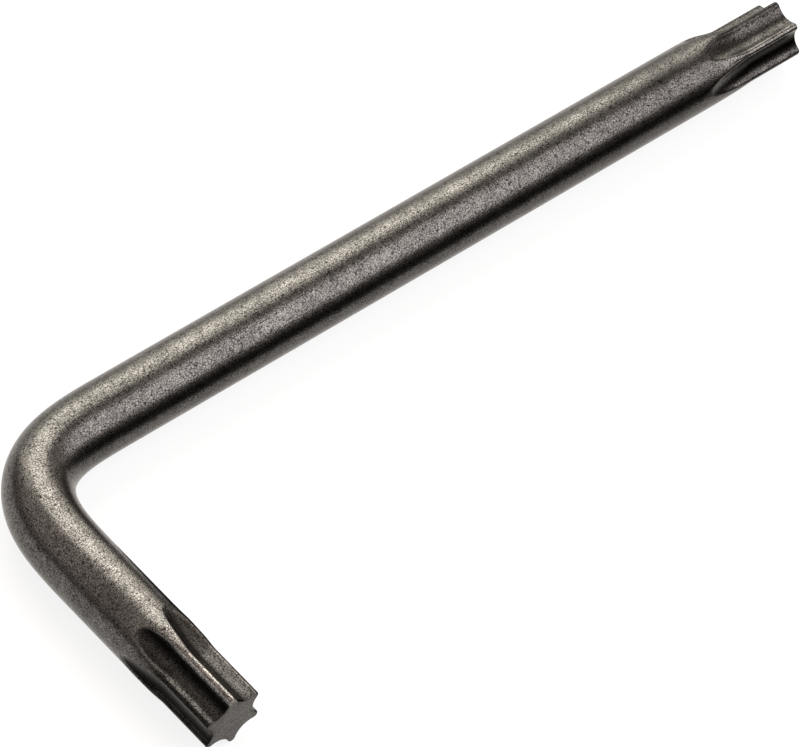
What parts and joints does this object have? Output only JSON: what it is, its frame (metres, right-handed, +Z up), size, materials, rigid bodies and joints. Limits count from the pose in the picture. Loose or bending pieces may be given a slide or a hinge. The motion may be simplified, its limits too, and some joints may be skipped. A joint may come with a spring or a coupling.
{
  "type": "star-drive key",
  "caption": "L-shaped star-drive key bent from a round steel bar, with a fluted six-lobe star tip at the end of each arm.",
  "frame": {"origin": "on the surface that the key lies on, under the middle of its overall box", "axes": "+X along the long arm towards its tip, +Y from the short arm's tip towards the bend, +Z up out of the flat of the key"},
  "size_m": [0.0581, 0.0214, 0.004],
  "materials": {
    "burnished_steel": "dark burnished steel with a fine matt grain"
  },
  "bodies": {
    "root": {"star_key": "burnished_steel"}
  },
  "joints": []
}
